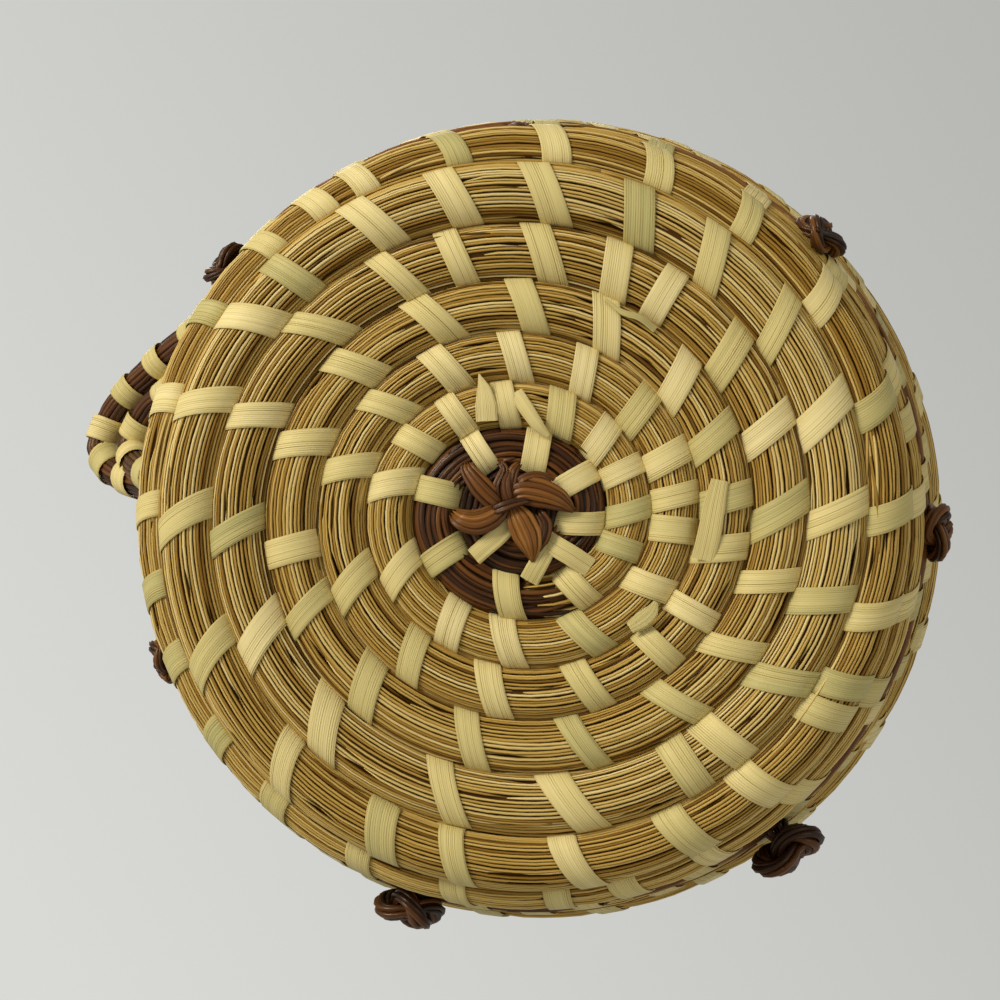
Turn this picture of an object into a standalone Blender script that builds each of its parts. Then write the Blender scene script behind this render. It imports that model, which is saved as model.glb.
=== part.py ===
"""Coiled sweetgrass basket with an ear handle and a ring of pine needle knots.

Lengths are in metres. The basket stands on its base with its axis on +Z, its underside at z = 0
and its handle over -X. One grass coil starts at the knot in the middle of the base, winds outwards,
clockwise as seen from above, and climbs the flared wall row by row up to the rim. A place on the
coil is given in turns: the row centres lie one row pitch further along the wall after each turn.
"""
import math
from functools import lru_cache

import bmesh
import bpy
from mathutils import Vector

# Wall of the basket, along the centres of the coil's rows
ROW_PITCH = 0.0101
BASE_RUN = 0.064
DISH_DEPTH = 0.0030
FOOT_RADIUS = 0.012
WALL_SLOPE = math.radians(74.0)

# Coil: where it starts, where its grass changes and where it ends, in turns
START_ANGLE = math.radians(21.0)
POINTS_PER_TURN = 24
COIL_START_TURN = 0.9375
BASE_COIL_TURN = 1.8541666
WALL_COIL_TURN = 6.3125
BAND_COIL_TURN = 8.1875
UPPER_COIL_TURN = 9.3958333
RIM_COIL_TURN = 11.6458333
RIM_END_TURN = 12.98
TAPER_TURNS = 0.30
TAPER_END_SHARE = 0.45

# Palmetto binding: a strip winds round the coil, and its stitches stay in line with those of the
# row below. The rows part by one strip's room where the number of stitches in a turn changes.
STRIP_WIDTH = 0.0046
STRIP_THICKNESS = 0.0004
STRIP_WIDTH_SHARE = 0.44
STRIP_LEAN_SHARE = 0.5
MOST_LEAN = math.radians(45.0)
FIRST_ROW_STITCHES = 10
INNER_ROW_STITCHES = 16
OUTER_ROW_STITCHES = 21
OUTER_ROWS_TURN = 4.6
PARTING_TURNS = 1.0 / POINTS_PER_TURN
FOOT_BINDING_TURN = 5.45
WALL_BINDING_TURN = 6.45

# Start knot: a shank in the eye of the coil and needle lobes below it, angles seen from above
KNOT_SHANK_RADIUS = 0.0037
LOBE_LENGTH = 0.0118
LOBE_WIDTH = 0.0056
LOBE_ANGLES = tuple(math.radians(angle) for angle in (350.0, 55.0, 150.0, 207.0, 262.0))
LOBE_LENGTH_SHARES = (1.0, 1.0, 0.94, 0.96, 0.78)

# Knots round the wall, each tied from one cord of needles, angles seen from above
WALL_KNOT_ANGLES = tuple(math.radians(angle) for angle in (203.0, 144.0, 94.0, 38.0, -13.0, -60.0, -109.0))
KNOT_HALF_SPAN = 0.0046
KNOT_HALF_DEPTH = 0.0023
NEEDLE_CORD_RADIUS = 0.0010
KNOT_POINTS = 22
KNOT_OPEN_SHARE = 0.93

# Ear handle: two rows of coil side by side, standing square on the shoulder of the rim row and
# drawn over to one side
HANDLE_ANGLE = math.radians(181.0)
HANDLE_HALF_CHORD = 0.021
HANDLE_RISE = 0.0282
HANDLE_SKEW = 0.0045
HANDLE_PITCH = 0.0075
HANDLE_REST = 0.0006
HANDLE_POINTS = 24
HANDLE_HALF_BEND = math.radians(10.0)
HANDLE_STITCHES = 7
HANDLE_STRIP_SHARE = 0.36

# Clearances
SEAT_GAP = 0.0003
CORNER_GAP = 0.0001

# Sizes that follow from the ones above
FULL_TURN = 2.0 * math.pi
HALF_STEP = math.pi / POINTS_PER_TURN
SECTION_SIDES = 6
CORNER_RATIO = 1.0 / math.cos(math.pi / SECTION_SIDES)
DISH_SLOPE = 2.0 * math.atan2(DISH_DEPTH, BASE_RUN)
STRIP_CLEARANCE = CORNER_GAP + STRIP_WIDTH / math.cos(MOST_LEAN) / 2.0 * math.tan(HALF_STEP)
STRIP_ROOM = (STRIP_CLEARANCE + STRIP_THICKNESS) * CORNER_RATIO
COIL_RADIUS = (ROW_PITCH * math.cos(HALF_STEP) - STRIP_ROOM - SEAT_GAP) / 2.0
FLAT_OUT = COIL_RADIUS / CORNER_RATIO
STRIP_OUT = FLAT_OUT + STRIP_CLEARANCE + STRIP_THICKNESS
HANDLE_TILT = FULL_TURN / SECTION_SIDES
HANDLE_CLEARANCE = CORNER_GAP + STRIP_WIDTH / 2.0 * math.tan(HANDLE_HALF_BEND)
HANDLE_ROOM = (HANDLE_CLEARANCE + STRIP_THICKNESS) * CORNER_RATIO
HANDLE_COIL_RADIUS = (HANDLE_PITCH * math.cos(HANDLE_HALF_BEND) - HANDLE_ROOM - SEAT_GAP) / 2.0

UP = Vector((0.0, 0.0, 1.0))


def clear_scene():
    for item in list(bpy.data.objects):
        bpy.data.objects.remove(item, do_unlink=True)


def new_collection(name):
    collection = bpy.data.collections.new(name)
    bpy.context.scene.collection.children.link(collection)
    return collection


def make_material(name, colour, roughness):
    material = bpy.data.materials.new(name)
    material.use_nodes = True
    shader = material.node_tree.nodes["Principled BSDF"]
    shader.inputs["Base Color"].default_value = (*colour, 1.0)
    shader.inputs["Roughness"].default_value = roughness
    shader.inputs["Metallic"].default_value = 0.0
    return material


def share_of(value, start, length):
    """How far a value has come along a length, held between 0 and 1."""
    return min(max((value - start) / length, 0.0), 1.0)


def wall_profile(run):
    """Radius, height and slope of the row centres after a run along the wall from the axis."""
    radius, height, slope = 0.0, 0.0, 0.0
    stretches = (
        (BASE_RUN, -DISH_SLOPE / BASE_RUN),
        (FOOT_RADIUS * (DISH_SLOPE + WALL_SLOPE), 1.0 / FOOT_RADIUS),
        (math.inf, 0.0),
    )
    left = run
    for length, curvature in stretches:
        step = min(left, length)
        if curvature:
            turned = slope + step * curvature
            radius += (math.sin(turned) - math.sin(slope)) / curvature
            height += (math.cos(slope) - math.cos(turned)) / curvature
            slope = turned
        else:
            radius += step * math.cos(slope)
            height += step * math.sin(slope)
        left -= step
    return radius, height, slope


# Height of the lowest row centre below the profile's own start, and its height over the floor
FOOT_DROP = wall_profile(BASE_RUN + FOOT_RADIUS * DISH_SLOPE)[1]
FOOT_CORNER = STRIP_OUT * CORNER_RATIO
FOOT_LIFT = math.sqrt(FOOT_CORNER**2 + FOOT_RADIUS**2 + 2.0 * STRIP_OUT * FOOT_RADIUS) - FOOT_RADIUS + CORNER_GAP


def tube_radius(turn):
    """Corner radius of the coil, which tapers at the rim's end."""
    return COIL_RADIUS * (1.0 - (1.0 - TAPER_END_SHARE) * share_of(turn, RIM_END_TURN - TAPER_TURNS, TAPER_TURNS))


def row_run(turn):
    """Run along the wall at a turn: the rows part where the number of stitches changes."""
    partings = sum(share_of(turn, change - PARTING_TURNS, PARTING_TURNS) for change in (BASE_COIL_TURN, OUTER_ROWS_TURN))
    return ROW_PITCH * turn + STRIP_ROOM * partings


def row_radius(turn):
    """Distance of the coil's centre from the axis."""
    return wall_profile(row_run(turn))[0]


def row_centre(turn):
    """Centre of the coil at a turn, with the direction across the rows. A taper rests on its row."""
    radius, height, slope = wall_profile(row_run(turn) - COIL_RADIUS + tube_radius(turn))
    angle = START_ANGLE - FULL_TURN * turn
    radial = Vector((math.cos(angle), math.sin(angle), 0.0))
    centre = radial * radius + UP * (height - FOOT_DROP + FOOT_LIFT)
    return centre, radial * math.cos(slope) + UP * math.sin(slope)


def square_frame(before, centre, after, across_hint):
    """Centre, across and out directions of a tube's section where two straight runs meet."""
    ways = [(end - start).normalized() for start, end in ((before, centre), (centre, after)) if end != start]
    along = sum(ways, Vector()).normalized()
    across = (across_hint - along * across_hint.dot(along)).normalized()
    return centre, across, across.cross(along)


@lru_cache(maxsize=None)
def coil_frame(corner):
    """Frame of the coil at a corner of its path, counted from the axis."""
    before, here, after = (row_centre((corner + shift) / POINTS_PER_TURN) for shift in (-1, 0, 1))
    return square_frame(before[0], here[0], after[0], here[1])


def between(near, far, share, across, out):
    """A point beside a tube, on the straight run between two frames."""
    ends = [centre + across_way * across + out_way * out for centre, across_way, out_way in (near, far)]
    return ends[0].lerp(ends[1], share)


def coil_point(turn, across, out):
    """A point beside the coil, at distances across the rows and out of the wall."""
    steps = turn * POINTS_PER_TURN
    corner = math.floor(steps)
    return between(coil_frame(corner), coil_frame(corner + 1), steps - corner, across, out)


def coil_axes(turn):
    """Directions along, across and out of the coil on the straight run that holds a turn."""
    corner = math.floor(turn * POINTS_PER_TURN)
    along = (coil_frame(corner + 1)[0] - coil_frame(corner)[0]).normalized()
    across = coil_point(turn, ROW_PITCH, 0.0) - coil_point(turn, 0.0, 0.0)
    across = (across - along * across.dot(along)).normalized()
    return along, across, across.cross(along)


def turns_for(length, turn):
    """Turns that a length takes up at a turn of the coil."""
    return length / (FULL_TURN * row_radius(turn))


def tube_object(name, stations, depth, twist, material, collection):
    """One unbroken tube. A station holds a centre, a radius and the outward side of the section."""
    curve = bpy.data.curves.new(name, "CURVE")
    curve.dimensions = "3D"
    curve.twist_mode = twist
    curve.bevel_depth = depth
    curve.bevel_resolution = 1
    curve.use_fill_caps = True
    curve.materials.append(material)
    spline = curve.splines.new("POLY")
    spline.points.add(len(stations) - 1)
    for index, (centre, radius, out) in enumerate(stations):
        point = spline.points[index]
        point.co = (*centre, 1.0)
        point.radius = radius / depth
        if out is None:
            continue
        before = stations[max(index - 1, 0)][0]
        after = stations[min(index + 1, len(stations) - 1)][0]
        ways = [(end - start).normalized() for start, end in ((before, centre), (centre, after)) if end != start]
        along = sum(ways, Vector()).normalized()
        upward = (UP - along * along.z).normalized()
        point.tilt = math.atan2(-out.dot(along.cross(upward)), -out.dot(upward))
    piece = bpy.data.objects.new(name, curve)
    collection.objects.link(piece)
    return piece


def coil_object(name, first, last, material, collection):
    """The length of coil from one turn to another, its ends square and half a gap short."""
    start = first + turns_for(SEAT_GAP / 2.0, first)
    end = last - turns_for(SEAT_GAP / 2.0, last)
    corners = range(math.ceil(start * POINTS_PER_TURN), math.floor(end * POINTS_PER_TURN) + 1)
    turns = [start, *(corner / POINTS_PER_TURN for corner in corners), end]
    stations = []
    for turn in turns:
        centre = coil_point(turn, 0.0, 0.0)
        stations.append((centre, tube_radius(turn), (coil_point(turn, 0.0, COIL_RADIUS) - centre).normalized()))
    return tube_object(name, stations, COIL_RADIUS, "Z_UP", material, collection)


def least_gap(centres, radii, apart):
    """Least gap of a tube to itself, between points at least so many places apart."""
    return min(
        (centres[one] - centres[other]).length - radii[one] - radii[other]
        for one in range(len(centres))
        for other in range(one + apart, len(centres))
    )


def stitches_per_turn(turn):
    if turn < BASE_COIL_TURN:
        return FIRST_ROW_STITCHES
    return INNER_ROW_STITCHES if turn < OUTER_ROWS_TURN else OUTER_ROW_STITCHES


def lay_stitches():
    """Turns at which the binding crosses the outside of the wall."""
    stitches = []
    changes = (COIL_START_TURN, BASE_COIL_TURN, OUTER_ROWS_TURN, RIM_END_TURN - TAPER_TURNS / 4.0)
    for first, last in zip(changes, changes[1:]):
        step = 1.0 / stitches_per_turn(first)
        count = math.floor((last - first) / step)
        stitches += [first + step * (index + 0.5) for index in range(count)]
    return stitches


def strip_shape(spacing, pitch, width_share):
    """Width and lean of a strip whose stitches lie at a spacing, in rows at a pitch."""
    width = min(STRIP_WIDTH, width_share * spacing)
    return width, min(STRIP_LEAN_SHARE * spacing / pitch, math.tan(MOST_LEAN))


def coil_strip_shape(turn):
    spacing = FULL_TURN * row_radius(turn) / stitches_per_turn(turn)
    return strip_shape(spacing, ROW_PITCH, STRIP_WIDTH_SHARE)


def winding_object(name, stitches, shape_at, place, reach, material, collection):
    """A flat strip wound round a tube. Each stitch leans across the outside from one groove to the
    next, and the strip runs back on the inside to the following stitch."""
    crossings = SECTION_SIDES * len(stitches) - 1
    mesh = bmesh.new()
    bmesh.ops.create_grid(mesh, x_segments=crossings, y_segments=1, size=1.0)
    for vertex in mesh.verts:
        crossing = round((vertex.co.x + 1.0) / 2.0 * crossings)
        index, side = divmod(crossing, SECTION_SIDES)
        stitch = stitches[index]
        width, lean = shape_at(stitch)
        angle = math.pi - FULL_TURN * side / SECTION_SIDES
        across, out = math.cos(angle), math.sin(angle)
        where = stitch + reach(lean * across, stitch)
        if side > SECTION_SIDES // 2 and index + 1 < len(stitches):
            following = stitches[index + 1]
            start = stitch + reach(lean, stitch)
            end = following - reach(shape_at(following)[1], following)
            where = start + (end - start) * (1.0 - across) / 2.0
        where += vertex.co.y * reach(width * math.hypot(1.0, lean) / 2.0, stitch, True)
        vertex.co = place(where, across, out)
    bmesh.ops.triangulate(mesh, faces=mesh.faces, quad_method="SHORT_EDGE")
    data = bpy.data.meshes.new(name)
    mesh.to_mesh(data)
    mesh.free()
    data.materials.append(material)
    piece = bpy.data.objects.new(name, data)
    collection.objects.link(piece)
    wall = piece.modifiers.new("Thickness", "SOLIDIFY")
    wall.thickness = STRIP_THICKNESS
    wall.offset = 1.0
    wall.use_even_offset = True
    return piece


def coil_winding_place(turn, across, out):
    radius = tube_radius(turn) + STRIP_CLEARANCE * CORNER_RATIO
    return coil_point(turn, across * radius, out * radius)


def coil_reach(size, turn, is_length=False):
    """Turns that a length takes up. A lean is first made a length by the bound coil's radius."""
    length = size if is_length else size * (tube_radius(turn) + STRIP_CLEARANCE * CORNER_RATIO)
    return turns_for(length, turn)


def surface_out(turn, across, room, stitches):
    """How far the bound coil reaches out under a spot beside it. A strip counts with room around it."""
    flank = (COIL_RADIUS + room - abs(across)) / math.tan(math.pi / SECTION_SIDES)
    surface = min(FLAT_OUT, flank)
    for stitch in stitches:
        width, lean = coil_strip_shape(stitch)
        middle = stitch + turns_for(lean * across, stitch)
        if abs(turn - middle) < turns_for(width * math.hypot(1.0, lean) / 2.0 + room, turn):
            return surface + STRIP_OUT - FLAT_OUT
    return surface


def move_to(piece, collection, is_cutter):
    for owner in list(piece.users_collection):
        owner.objects.unlink(piece)
    collection.objects.link(piece)
    piece.hide_render = is_cutter
    piece.display_type = "WIRE" if is_cutter else "TEXTURED"


def add_boolean(target, other, operation):
    step = target.modifiers.new(other.name, "BOOLEAN")
    step.operation = operation
    step.solver = "EXACT"
    step.object = other


def build_start_knot(material, collection, cutters):
    """Shank in the eye of the coil with lobes fanned out below it, cut flat to rest on."""
    middle = row_centre(COIL_START_TURN)[0].z
    top = middle + FLAT_OUT
    lobe_top = middle - STRIP_OUT - SEAT_GAP
    half_lobe = (lobe_top + SEAT_GAP) / 2.0
    height = top + lobe_top
    bpy.ops.mesh.primitive_cylinder_add(
        vertices=POINTS_PER_TURN, radius=KNOT_SHANK_RADIUS, depth=height, location=(0.0, 0.0, top - height / 2.0)
    )
    shank = bpy.context.object
    shank.name = shank.data.name = "start_knot"
    for index, (angle, share) in enumerate(zip(LOBE_ANGLES, LOBE_LENGTH_SHARES)):
        half_reach = LOBE_LENGTH * share / 2.0
        bpy.ops.mesh.primitive_uv_sphere_add(segments=12, ring_count=8, radius=1.0)
        lobe = bpy.context.object
        lobe.name = f"knot_lobe_{index + 1}"
        lobe.scale = (half_reach, LOBE_WIDTH / 2.0, half_lobe)
        lobe.rotation_euler = (0.0, 0.0, angle)
        lobe.location = (half_reach * math.cos(angle), half_reach * math.sin(angle), lobe_top - half_lobe)
        move_to(lobe, cutters, True)
        add_boolean(shank, lobe, "UNION")
    bpy.ops.mesh.primitive_cube_add(size=1.0)
    floor = bpy.context.object
    floor.name = "knot_floor"
    floor.scale = (LOBE_LENGTH * 3.0, LOBE_LENGTH * 3.0, height)
    floor.location = (0.0, 0.0, -height / 2.0)
    move_to(floor, cutters, True)
    add_boolean(shank, floor, "DIFFERENCE")
    move_to(shank, collection, False)
    shank.data.materials.append(material)


def build_wall_knot(name, turn, stitches, material, collection):
    """An open overhand knot of one needle cord, seated on the outside of the wall."""
    along, across, out = coil_axes(turn)
    offsets = []
    for index in range(KNOT_POINTS):
        angle = math.pi + FULL_TURN * KNOT_OPEN_SHARE * (index / (KNOT_POINTS - 1) - 0.5)
        wide = (math.sin(angle) + 2.0 * math.sin(2.0 * angle)) / 3.0
        high = (math.cos(angle) - 2.0 * math.cos(2.0 * angle)) / 3.0
        offsets.append((wide * KNOT_HALF_SPAN, high * KNOT_HALF_SPAN, -KNOT_HALF_DEPTH * math.sin(3.0 * angle)))
    seat = SEAT_GAP + NEEDLE_CORD_RADIUS + max(
        surface_out(turn + turns_for(wide, turn), high, NEEDLE_CORD_RADIUS, stitches) - deep
        for wide, high, deep in offsets
    )
    middle = coil_point(turn, 0.0, seat)
    centres = [middle + along * wide + across * high + out * deep for wide, high, deep in offsets]
    stations = [(centre, NEEDLE_CORD_RADIUS, None) for centre in centres]
    tube_object(name, stations, NEEDLE_CORD_RADIUS, "MINIMUM", material, collection)
    return least_gap(centres, [NEEDLE_CORD_RADIUS] * KNOT_POINTS, 4)


def turn_at(angle, turn):
    """The first turn from a given one at which the coil passes an angle."""
    share = (START_ANGLE - angle) / FULL_TURN
    return math.ceil(turn - share) + share


def frames_through(places, heart):
    """Frames along an open path, their across directions pointing away from the path's heart."""
    befores = [places[0], *places[:-1]]
    afters = [*places[1:], places[-1]]
    return [square_frame(*three, three[1] - heart) for three in zip(befores, places, afters)]


def handle_frames(inset):
    """Frames of one handle row, smaller than the outer row by an inset all round."""
    middle = turn_at(HANDLE_ANGLE, RIM_COIL_TURN)
    half_span = turns_for(HANDLE_HALF_CHORD - inset, middle)
    top = HANDLE_RISE - inset
    skew = turns_for(HANDLE_SKEW * top / HANDLE_RISE, middle)
    seat = STRIP_OUT + SEAT_GAP + CORNER_GAP
    across, out = math.sin(HANDLE_TILT), math.cos(HANDLE_TILT)
    places = []
    for index in range(HANDLE_POINTS + 1):
        angle = math.pi * index / HANDLE_POINTS
        turn = middle - half_span * math.cos(angle) + skew * math.sin(angle) ** 2
        rise = seat + top * math.sin(angle)
        places.append(coil_point(turn, across * rise, out * rise))
    return frames_through(places, coil_point(middle, across * seat, out * seat))


def build_handle_row(name, inset, needles, palmetto, collection):
    frames = handle_frames(inset)
    stations = [(centre, HANDLE_COIL_RADIUS, out) for centre, across, out in frames]
    tube_object(f"handle_{name}_coil", stations, HANDLE_COIL_RADIUS, "Z_UP", needles, collection)
    run = sum((after[0] - before[0]).length for before, after in zip(frames, frames[1:])) / HANDLE_POINTS
    spacing = HANDLE_POINTS / HANDLE_STITCHES
    shape = strip_shape(run * spacing, HANDLE_PITCH, HANDLE_STRIP_SHARE)
    radius = HANDLE_COIL_RADIUS + HANDLE_CLEARANCE * CORNER_RATIO

    def place(step, across, out):
        corner = min(max(math.floor(step), 0), HANDLE_POINTS - 1)
        return between(*frames[corner:corner + 2], step - corner, across * radius, out * radius)

    def reach(size, step, is_length=False):
        return (size if is_length else size * radius) / run

    stitches = [spacing * (index + 0.5) for index in range(HANDLE_STITCHES)]
    winding_object(
        f"handle_{name}_binding", stitches, lambda step: shape, place, reach, palmetto, collection
    )


def build_basket():
    clear_scene()
    basket = new_collection("sweetgrass_basket")
    cutters = new_collection("basket_cutters")
    grass = make_material("sweetgrass", (0.58, 0.40, 0.17), 0.65)
    needles = make_material("pine_needles", (0.15, 0.05, 0.02), 0.45)
    palmetto = make_material("palmetto_strip", (0.70, 0.60, 0.33), 0.55)

    coils = (
        ("start_coil", COIL_START_TURN, BASE_COIL_TURN, needles),
        ("base_coil", BASE_COIL_TURN, WALL_COIL_TURN, grass),
        ("wall_coil", WALL_COIL_TURN, BAND_COIL_TURN, grass),
        ("band_coil", BAND_COIL_TURN, UPPER_COIL_TURN, needles),
        ("upper_coil", UPPER_COIL_TURN, RIM_COIL_TURN, grass),
        ("rim_coil", RIM_COIL_TURN, RIM_END_TURN, grass),
    )
    for name, first, last, material in coils:
        coil_object(name, first, last, material, basket)
    corners = range(math.ceil(COIL_START_TURN * POINTS_PER_TURN), math.floor(RIM_END_TURN * POINTS_PER_TURN))
    centres = [coil_frame(corner)[0] for corner in corners]
    radii = [tube_radius(corner / POINTS_PER_TURN) for corner in corners]
    print(f"least gap of the coil to itself: {1000.0 * least_gap(centres, radii, POINTS_PER_TURN // 2):.2f} mm")

    stitches = lay_stitches()
    bindings = (
        ("start_binding", COIL_START_TURN, BASE_COIL_TURN),
        ("base_binding", BASE_COIL_TURN, FOOT_BINDING_TURN),
        ("foot_binding", FOOT_BINDING_TURN, WALL_BINDING_TURN),
        ("wall_binding", WALL_BINDING_TURN, BAND_COIL_TURN),
        ("band_binding", BAND_COIL_TURN, UPPER_COIL_TURN),
        ("upper_binding", UPPER_COIL_TURN, RIM_COIL_TURN),
        ("rim_binding", RIM_COIL_TURN, RIM_END_TURN),
    )
    for name, first, last in bindings:
        own = [turn for turn in stitches if first <= turn < last]
        winding_object(name, own, coil_strip_shape, coil_winding_place, coil_reach, palmetto, basket)
        print(f"{name}: {len(own)} stitches")

    build_start_knot(needles, basket, cutters)
    knot_turns = [turn_at(angle, BAND_COIL_TURN) for angle in WALL_KNOT_ANGLES]
    knot_gaps = [
        build_wall_knot(f"wall_knot_{index + 1}", turn, stitches, needles, basket)
        for index, turn in enumerate(knot_turns)
    ]
    print(f"least gap of a wall knot to itself: {1000.0 * min(knot_gaps):.2f} mm")
    build_handle_row("outer", 0.0, needles, palmetto, basket)
    build_handle_row("inner", HANDLE_PITCH + HANDLE_REST, needles, palmetto, basket)


build_basket()
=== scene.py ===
"""Coiled sweetgrass basket: grass stalks, pine needles, palmetto strips and knots in place of the frame's solids.

Lengths are in metres and angles in radians. A place on the coil is given in turns from the axis, and
a section of the coil has two directions: across the rows, away from the base, and out of the wall.
"""
import math
from functools import lru_cache

import bmesh
import bpy
import numpy as np
from mathutils import Matrix, Vector


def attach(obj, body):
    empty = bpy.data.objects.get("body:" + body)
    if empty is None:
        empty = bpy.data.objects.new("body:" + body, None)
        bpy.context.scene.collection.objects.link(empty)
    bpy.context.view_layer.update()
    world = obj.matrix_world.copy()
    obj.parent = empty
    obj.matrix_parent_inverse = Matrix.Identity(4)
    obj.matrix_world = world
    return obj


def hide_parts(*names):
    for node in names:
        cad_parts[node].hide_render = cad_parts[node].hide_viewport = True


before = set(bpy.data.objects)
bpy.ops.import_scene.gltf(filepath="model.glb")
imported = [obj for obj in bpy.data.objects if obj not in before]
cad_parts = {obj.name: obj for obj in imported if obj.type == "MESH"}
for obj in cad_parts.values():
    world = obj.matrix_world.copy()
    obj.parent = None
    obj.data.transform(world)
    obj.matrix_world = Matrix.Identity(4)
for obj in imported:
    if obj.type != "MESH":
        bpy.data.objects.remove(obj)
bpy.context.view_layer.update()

MM = 0.001
FULL_TURN = 2.0 * math.pi

# Wall of the basket and the rows of its coil, as in the frame
BASE_RUN = 0.064
DISH_DEPTH = 0.0030
FOOT_RADIUS = 0.012
WALL_SLOPE = math.radians(74.0)
START_ANGLE = math.radians(21.0)
FOOT_LIFT = 0.00498
DISH_SLOPE = 2.0 * math.atan2(DISH_DEPTH, BASE_RUN)
ROW_PITCH = 0.0101

# How far the rows lie from an even spacing, and how far the inner rows are drawn out to one side
ROW_SHIFT_TURNS = (0.0, 1.1, 2.1, 3.1, 4.1, 5.1, 6.1, 7.1, 8.1, 15.0)
ROW_SHIFTS = (0.0, 0.0007, -0.00065, -0.0016, -0.0016, -0.0008, 0.0003, 0.0019, 0.00214, 0.00214)
OVAL_TURNS = (0.0, 1.1, 2.1, 3.1, 4.1, 5.6, 6.8, 15.0)
OVAL_SHIFTS = (0.0, 0.0012, 0.0014, 0.0011, 0.0010, 0.0013, 0.0, 0.0)
OVAL_ANGLE = math.radians(345.0)

# Turns where the stretches of the coil begin, and the taper at the rim's end
COIL_START_TURN = 0.9375
GRASS_TURN = 1.8541666
FOOT_TURN = 5.6
WALL_COIL_TURN = 6.3125
BAND_COIL_TURN = 8.1875
BAND_NEEDLE_TURN = 8.33
UPPER_COIL_TURN = 9.3958333
RIM_COIL_TURN = 11.6458333
RIM_END_TURN = 12.98
TAPER_TURNS = 0.30
TAPER_END_SHARE = 0.45

# The coil's bundle: its half thickness, how far neighbouring rows press together, how far a stitch draws it in,
# and where it begins and reaches its full size in the eye
BUNDLE_OUT = 0.0045
ROW_PRESS = 0.00030
CINCH_SHARE = 0.06
CINCH_REACH = 0.004
EYE_TURN = 0.30
EYE_TURNS = 0.45
EYE_SHARE = 0.45

# Stalks: how their ends tuck in, and the distance between the stations of a path
TUCK_LENGTH = 0.007
TUCK_DEPTH = 0.0007
STALK_STEP = 0.004

# Inside of the bundle, and the filling of the grooves, which open at the foot
CORE_STEPS = 48
CORE_SHARE = 0.86
CORE_INSET = 0.0003
GROOVE_STEPS = 120
GROOVE_HALF_WIDTH = 0.0009
GROOVE_BOTTOM = 0.0019
GROOVE_DEPTH_TURNS = (5.8, 6.4)
GROOVE_DEPTHS = (0.0007, 0.0014)
WALL_RADIUS = 0.085

# The palmetto strip
STRIP_WIDTH = 0.0052
STRIP_THICKNESS = 0.00036
STRIP_LIFT = 0.00030
STRIP_SIDES = 12
STRIP_FLATNESS = 0.45
SECTION_STEPS = 20

# Stitches that the photo shows: turn at the inner groove, and further turns to the outer groove
SEEN_STITCHES = (
    (1.054, 0.026), (1.180, 0.001), (1.297, 0.015), (1.442, 0.001), (1.562, 0.001), (1.680, 0.006), (1.813, 0.030),
    (1.947, 0.010), (2.046, 0.001), (2.087, 0.022), (2.157, 0.005), (2.205, 0.018), (2.274, 0.022), (2.365, 0.008),
    (2.440, 0.004), (2.501, 0.008), (2.551, 0.027), (2.657, 0.030), (2.756, 0.015), (2.823, 0.025), (2.919, 0.021),
    (3.013, 0.010), (3.081, 0.001), (3.111, 0.008), (3.150, 0.009), (3.205, 0.013), (3.273, 0.015), (3.346, 0.015),
    (3.418, 0.015), (3.482, 0.020), (3.548, 0.022), (3.651, 0.025), (3.739, 0.019), (3.816, 0.021), (3.903, 0.013),
    (3.976, 0.001), (4.016, 0.001), (4.065, 0.012), (4.104, 0.010), (4.149, 0.017), (4.199, 0.019), (4.269, 0.021),
    (4.334, 0.018), (4.406, 0.020), (4.476, 0.018), (4.542, 0.017), (4.624, 0.004), (4.660, 0.017), (4.727, 0.018),
    (4.808, 0.018), (4.885, 0.016), (4.952, 0.016), (5.002, 0.015), (5.050, 0.013), (5.088, 0.023), (5.143, 0.015),
    (5.194, 0.015), (5.255, 0.002), (5.284, 0.009), (5.326, 0.016), (5.385, 0.007), (5.419, 0.014), (5.471, 0.021),
    (5.537, 0.014), (5.602, 0.017), (5.661, 0.020), (5.721, 0.022), (5.800, 0.020), (5.869, 0.019), (5.942, 0.001),
    (5.963, 0.006), (6.002, 0.014), (6.049, 0.011), (6.091, 0.015), (6.140, 0.017), (6.190, 0.017), (6.239, 0.014),
    (6.282, 0.012), (6.329, 0.015), (6.378, 0.010), (6.419, 0.012), (6.469, 0.007), (6.494, 0.014), (6.540, 0.014),
    (6.595, 0.017), (6.661, 0.017), (6.725, 0.015), (6.782, 0.010), (6.817, 0.011), (6.871, 0.012), (6.923, 0.009),
    (6.962, 0.008), (7.005, 0.007), (7.019, 0.008), (7.051, 0.011), (7.095, 0.011), (7.142, 0.012), (7.194, 0.012),
    (7.242, 0.009), (7.286, 0.010), (7.333, 0.010), (7.377, 0.010), (7.420, 0.009), (7.441, 0.009), (7.469, 0.010),
    (7.508, 0.009), (7.549, 0.008), (7.596, 0.009), (7.631, 0.009), (7.663, 0.009), (7.700, 0.009), (7.736, 0.010),
    (7.779, 0.009), (7.821, 0.009), (7.865, 0.003), (7.892, 0.010), (7.928, 0.014), (7.972, 0.016), (8.023, 0.009),
    (8.059, 0.016), (8.102, 0.011), (8.134, 0.010), (8.153, 0.018), (8.201, 0.009), (8.248, 0.001), (8.292, 0.002),
    (8.339, 0.004), (8.382, 0.010), (8.421, 0.010),
)

# Stitches of the rows above, in one turn, and their lean
UPPER_STITCHES = 21.5
UPPER_LEAN_TURNS = 0.010

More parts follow.
